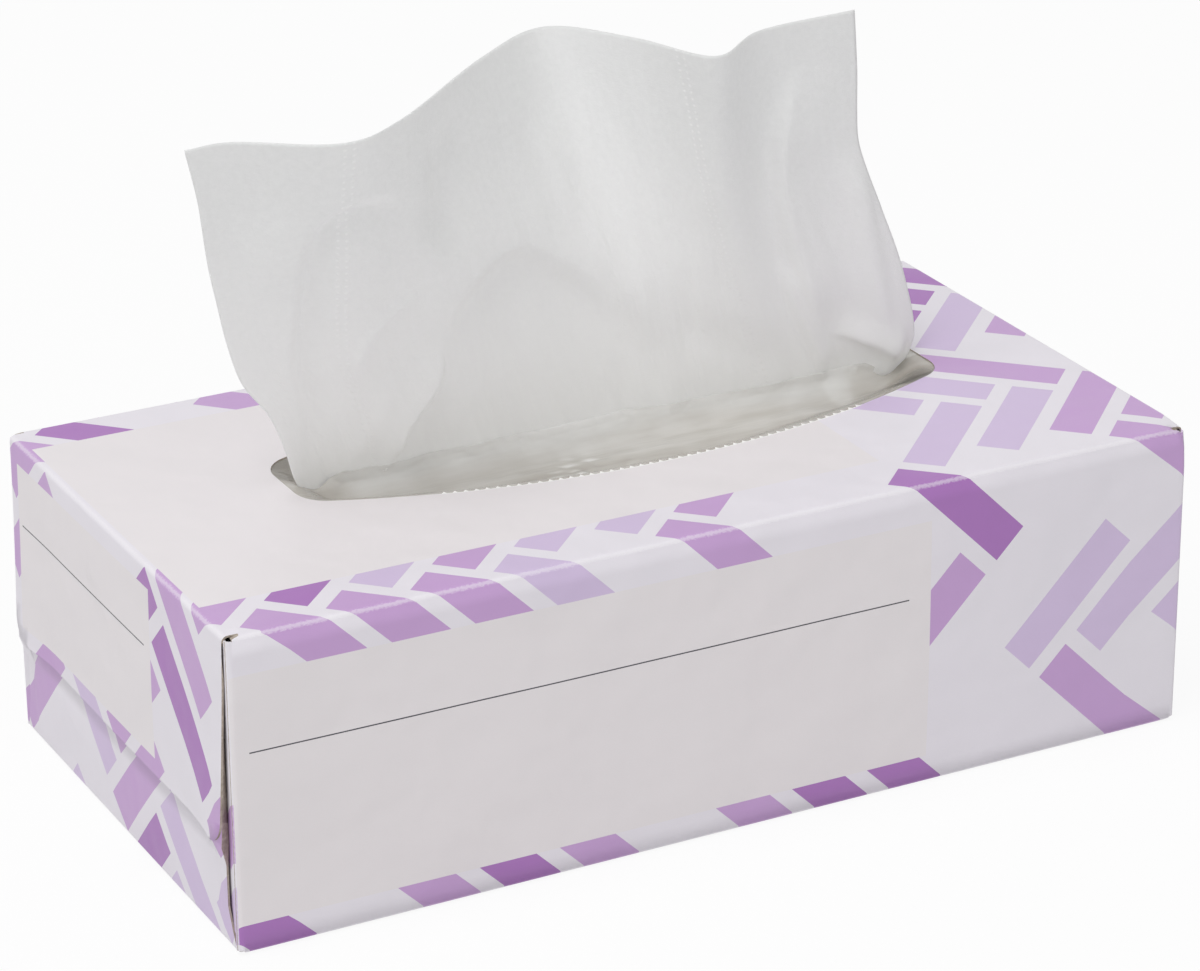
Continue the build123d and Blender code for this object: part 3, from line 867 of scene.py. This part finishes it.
def make_pack(material):
    """The pack of folded tissues: a soft block whose layers stand unevenly at its sides."""
    size = stack_high - stack_low
    middle = (stack_low + stack_high) / 2
    deselect_all()
    bpy.ops.mesh.primitive_cube_add(size=1, location=middle)
    piece = bpy.context.object
    piece.name = "folded_pack"
    piece.scale = size
    bpy.ops.object.transform_apply(location=True, rotation=False, scale=True)
    bpy.ops.object.mode_set(mode="EDIT")
    cut_into_grid(stack_low, stack_high, PACK_CUTS)
    bpy.ops.object.mode_set(mode="OBJECT")
    mesh = piece.data
    for vertex in mesh.vertices:
        place = vertex.co
        level = round((place.z - stack_low.z) / size.z * PACK_LAYERS)
        rim = min(level, PACK_LAYERS - level)
        inset = LAYER_INSETS[level % 2] + (RIM_INSETS[rim] if rim < 2 else 0)
        if abs(place.y - middle.y) > size.y / 2 - 1e-6:
            place.y -= math.copysign(inset, place.y - middle.y)
        if abs(place.x - middle.x) > size.x / 2 - 1e-6:
            place.x -= math.copysign(inset * 0.5, place.x - middle.x)
    for polygon in mesh.polygons:
        polygon.use_smooth = True
    mesh.materials.append(material)
    return piece


def slit_line_x(u):
    """Where the gathered sheet crosses the slit, along the box."""
    return OPENING_X + SHEET_AT_SLIT * (u - 0.5)


def slit_line_y(u):
    """Pleats of the gathered sheet where it crosses the slit."""
    crowding = (2 * u - 1) ** 2
    pleats = PLEAT_DEPTH * crowding * np.sin(2 * math.pi * PLEAT_COUNT * u)
    return OPENING_Y + pleats + 0.6 * MM * waves(7, u, u * 0, 0.12)


def fanned_sheet(u):
    """The shown half as a grid of points: rows from the slit up to the free edge, columns left to right."""
    top = smooth_line(TOP_EDGE, len(u)) * MM
    slit_x = slit_line_x(u)
    slit_y = slit_line_y(u)
    left = smooth_line(LEFT_EDGE, EDGE_POINTS) * MM
    right = smooth_line(RIGHT_EDGE, EDGE_POINTS) * MM
    rows = []
    for t in np.linspace(0, 1, SHEET_ROWS):
        z = film_low.z + (tissue_high.z - film_low.z) * t
        x = slit_x + (top[:, 0] - slit_x) * t**FLARE_POWER
        y = slit_y + (top[:, 1] - slit_y) * t**WAVE_POWER
        x += (np.interp(z, left[:, 0], left[:, 1]) - x[0]) * np.exp(-((u / LEFT_EDGE_SHARE) ** 2))
        x += (np.interp(z, right[:, 0], right[:, 1]) - x[-1]) * np.exp(-(((1 - u) / RIGHT_EDGE_SHARE) ** 2))
        rows.append(np.column_stack([x, y, np.full_like(x, z)]))
    return np.array(rows)


def fold_push(across, up, stand, left_width, right_width, line):
    """How far one fold pushes each point of the flat sheet out of it, in millimetres."""
    path = smooth_line(line, FOLD_POINTS)
    heading = np.gradient(path, axis=0)
    gap_x = across[..., None] - path[:, 0]
    gap_y = up[..., None] - path[:, 1]
    nearest = np.argmin(gap_x**2 + gap_y**2, axis=-1)
    near_x = np.take_along_axis(gap_x, nearest[..., None], -1)[..., 0]
    near_y = np.take_along_axis(gap_y, nearest[..., None], -1)[..., 0]
    turn = heading[nearest]
    is_left = turn[..., 0] * near_y - turn[..., 1] * near_x > 0
    width = np.where(is_left, left_width, right_width)
    share = nearest / (len(path) - 1)
    fade = smooth_step(share, 0, 0.3) * smooth_step(1 - share, 0, 0.25)
    return stand * fade * np.exp(-(near_x**2 + near_y**2) / width**2)


def add_folds(grid, u):
    """Pushes the shown half in and out along its own faces by the named folds and some chance crumpling."""
    height = (tissue_high.z - film_low.z) / MM
    across, up = np.meshgrid(u * SHEET_WIDTH / MM, np.linspace(0, height, len(grid)))
    push = np.zeros_like(across)
    for fold in FOLDS.values():
        push += fold_push(across, up, *fold)
    fine = FINE_CRUMPLE + SLIT_CRUMPLE * np.exp(-up / SLIT_CRUMPLE_REACH)
    push += SLOW_CRUMPLE * waves(51, across, up * 0.6, SLOW_CRUMPLE_SIZE)
    push += fine * waves(52, across, up * 0.4, FINE_CRUMPLE_SIZE)
    # The sheet stays put at the slit, and its free edge keeps most of its line
    push *= smooth_step(up, 0, 3) * (1 - 0.85 * smooth_step(up, height - 14, height))
    outward = np.cross(np.gradient(grid, axis=1), np.gradient(grid, axis=0))
    outward /= np.linalg.norm(outward, axis=-1, keepdims=True)
    return grid + outward * push[..., None] * FOLD_STAND * MM


def tucked_sheet(u):
    """The hidden half as a grid of points: down to the pack, back over it and forward again."""
    slit_x = slit_line_x(u)
    slit_y = slit_line_y(u)
    falling = np.zeros(len(TUCK_DROPS))
    back = np.linspace(TUCK_START, TUCK_END, TUCK_POINTS)
    lying = np.full(TUCK_POINTS, TUCK_LEVEL)
    turn_z = [TUCK_LEVEL + 0.05 * MM, TUCK_LEVEL + 0.2 * MM]
    path_y = np.concatenate([falling, back, [TUCK_TURN, TUCK_TURN], back[::-1]])
    path_z = np.concatenate([film_low.z - TUCK_DROPS, lying, turn_z, lying + TUCK_GAP])
    spread = np.concatenate([falling, np.linspace(0.1, 1, TUCK_POINTS), np.ones(2 + TUCK_POINTS)])
    rows = []
    for run_y, z, share in zip(path_y, path_z, spread):
        x = slit_x + (TUCK_WIDTH * (u - 0.5) - slit_x) * share
        y = slit_y + (OPENING_Y - slit_y) * share + run_y
        rows.append(np.column_stack([x, y, np.full_like(x, z)]))
    return np.array(rows)[1:]


def make_tissue(material, shown):
    """The raised tissue: pulled up through the slit and fanned out, with its other half tucked inside."""
    hidden = tucked_sheet(np.linspace(0, 1, SHEET_COLUMNS))
    grid = np.concatenate([hidden[::-1], shown])
    corners = grid_corners(len(grid), SHEET_COLUMNS)
    faces = [(a, a + 1, a + SHEET_COLUMNS + 1, a + SHEET_COLUMNS) for a in corners]
    piece = mesh_from_grid("pulled_tissue", grid.reshape(-1, 3), faces)
    lay_out_sheet(piece, grid, len(hidden))
    give_wall(piece, TISSUE_THICKNESS)
    piece.data.materials.append(material)
    return piece


def lay_out_sheet(piece, grid, slit_row):
    """UV map in millimetres of the flat sheet: across from its left side, and up from the slit."""
    middle = grid[:, SHEET_COLUMNS // 2]
    run = np.concatenate([[0], np.cumsum(np.linalg.norm(np.diff(middle, axis=0), axis=1))])
    up = (run - run[slit_row]) / MM
    across = np.linspace(0, SHEET_WIDTH / MM, SHEET_COLUMNS)
    layer = piece.data.uv_layers.new(name="sheet")
    corner = np.empty(len(piece.data.loops), int)
    piece.data.loops.foreach_get("vertex_index", corner)
    row, column = np.divmod(corner, SHEET_COLUMNS)
    layer.data.foreach_set("uv", np.column_stack([across[column], up[row]]).ravel())


# Camera, light and ground


def make_camera():
    """The photograph's viewpoint, worked out from the carton's corners."""
    data = bpy.data.cameras.new("camera")
    data.sensor_width = CAMERA_SENSOR
    data.lens = CAMERA_LENS
    data.clip_start = 0.05
    data.clip_end = 20.0
    camera = bpy.data.objects.new("camera", data)
    bpy.context.scene.collection.objects.link(camera)
    azimuth = Matrix.Rotation(math.radians(CAMERA_AZIMUTH), 4, "Z")
    tilt = Matrix.Rotation(math.radians(90 - CAMERA_TILT), 4, "X")
    roll = Matrix.Rotation(math.radians(CAMERA_ROLL), 4, "Z")
    camera.matrix_world = Matrix.Translation(CAMERA_PLACE) @ azimuth @ tilt @ roll
    bpy.context.scene.camera = camera


def make_lights():
    """A big soft lamp from the upper left, a weak one low in front and an even white surround."""
    for name, (size, energy, place) in LAMPS.items():
        data = bpy.data.lights.new(name, "AREA")
        data.shape = "SQUARE"
        data.size = size
        data.energy = energy
        lamp = bpy.data.objects.new(name, data)
        bpy.context.scene.collection.objects.link(lamp)
        lamp.location = place
        aim = LAMP_TARGET - lamp.location
        lamp.rotation_euler = aim.to_track_quat("-Z", "Y").to_euler()
    world = bpy.data.worlds.new("surround")
    bpy.context.scene.world = world
    world.use_nodes = True
    tree = world.node_tree
    tree.nodes.clear()
    path = add_node(tree, "LightPath")
    camera_ray, glossy_ray = path.outputs["Is Camera Ray"], path.outputs["Is Glossy Ray"]
    seen = add_node(tree, "Math", {0: camera_ray, 1: glossy_ray}, operation="MAXIMUM")
    seen = add_node(tree, "Math", {0: seen, 1: path.outputs["Is Transmission Ray"]}, operation="MAXIMUM")
    strength = add_node(tree, "MapRange", {"Value": seen, "To Min": SURROUND_LIGHT, "To Max": 1.0})
    light = add_node(tree, "Background", {"Color": (1, 1, 1, 1), "Strength": strength})
    add_node(tree, "OutputWorld", {"Surface": light})


def make_ground():
    """White ground that keeps a soft shadow of the box."""
    deselect_all()
    bpy.ops.mesh.primitive_plane_add(size=GROUND_SIZE, location=(0, 0, -GROUND_DROP))
    ground = bpy.context.object
    ground.name = "ground"
    material, tree = start_material("white_ground")
    path = add_node(tree, "LightPath")
    camera_ray, glossy_ray = path.outputs["Is Camera Ray"], path.outputs["Is Glossy Ray"]
    seen = add_node(tree, "Math", {0: camera_ray, 1: glossy_ray}, operation="MAXIMUM")
    share = add_node(tree, "Math", {0: seen, 1: GROUND_GLOW}, operation="MULTIPLY")
    matt = add_node(tree, "BsdfDiffuse", {"Color": linear("#E8E8E8")})
    glow = add_node(tree, "Emission", {"Color": (1, 1, 1, 1), "Strength": 1.0})
    both = add_node(tree, "MixShader", {0: share, 1: matt, 2: glow})
    add_node(tree, "OutputMaterial", {"Surface": both})
    ground.data.materials.append(material)


bpy.context.scene.view_settings.view_transform = "Standard"
make_camera()
make_lights()
make_ground()

across_sheet = np.linspace(0, 1, SHEET_COLUMNS)
shown_sheet = add_folds(fanned_sheet(across_sheet), across_sheet)

carton = make_carton(printed_paperboard(), raw_paperboard())
film = make_film(clear_film(), shown_sheet[:LIP_ROWS].reshape(-1, 3))
pack = make_pack(folded_tissue_pack())
tissue = make_tissue(creped_tissue(), shown_sheet)

for piece, node, slot in (
    (carton, "carton", "printed_board"),
    (film, "film_window", "clear_film"),
    (pack, "tissue_stack", "stacked_tissue"),
    (tissue, "raised_tissue", "soft_tissue"),
):
    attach(piece, "root")
    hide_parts(node)
